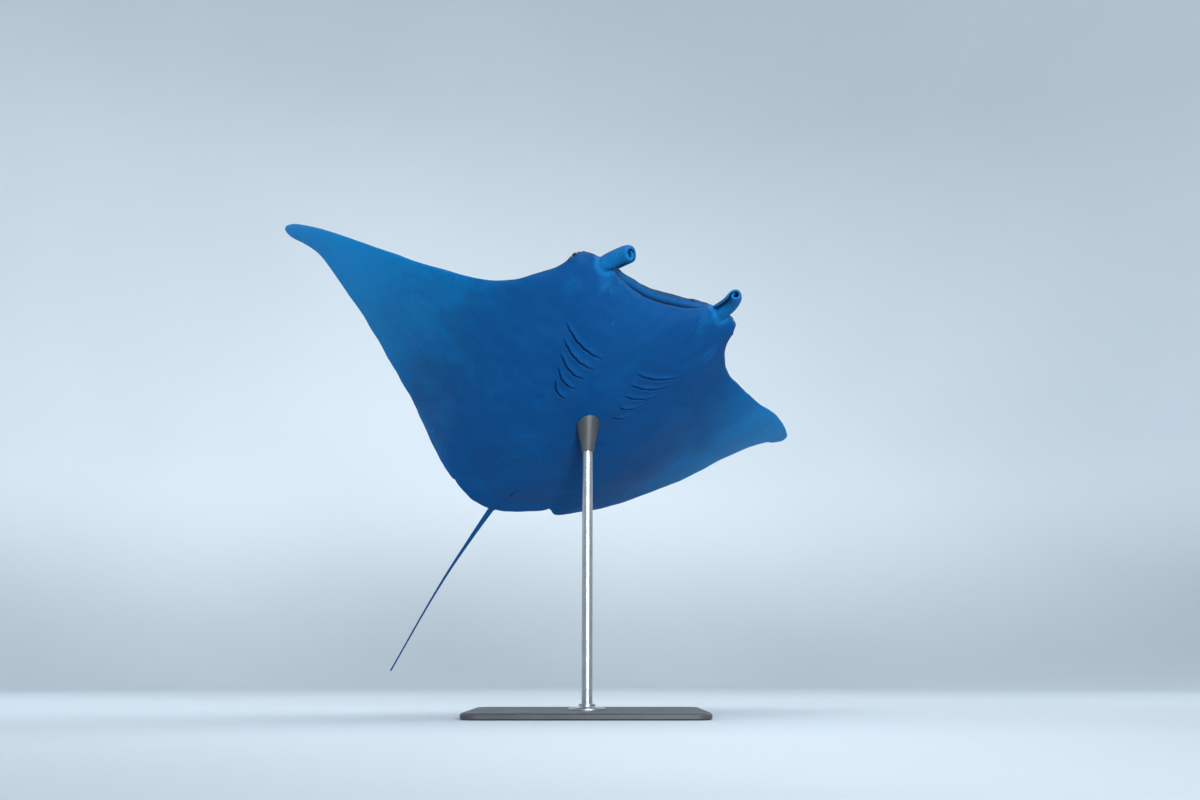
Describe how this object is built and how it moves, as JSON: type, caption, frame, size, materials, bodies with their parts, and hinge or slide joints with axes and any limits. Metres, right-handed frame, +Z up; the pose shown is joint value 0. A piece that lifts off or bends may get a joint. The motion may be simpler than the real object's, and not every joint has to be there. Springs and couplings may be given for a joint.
{
  "type": "manta ray display model",
  "caption": "Life-size still model of a manta ray climbing with raised wings and rolled cephalic fins, held by a rod on a flat base.",
  "frame": {"origin": "middle of the base plate's underside, on the floor", "axes": "+Z up, +X and +Y along the base plate's long and short sides; the animal heads between +X and -Y"},
  "size_m": [2.4848, 1.8711, 2.2074],
  "materials": {
    "skin": "dark slate-blue ray skin, satin, paler towards the wing tips and rolled fins",
    "eye": "dark glossy eye",
    "stand_paint": "satin dark grey paint",
    "stand_steel": "brushed steel"
  },
  "bodies": {
    "root": {"head": "skin", "lower_jaw": "skin", "trunk": "skin", "wing_left": "skin", "wing_right": "skin", "cephalic_fin_left": "skin", "cephalic_fin_right": "skin", "pelvic_fin_left": "skin", "pelvic_fin_right": "skin", "dorsal_fin": "skin", "tail_1": "skin", "tail_2": "skin", "tail_3": "skin", "eye_left": "eye", "eye_right": "eye", "stand_base": "stand_paint", "stand_collar": "stand_steel", "stand_rod": "stand_steel", "stand_saddle": "stand_paint"}
  },
  "joints": []
}
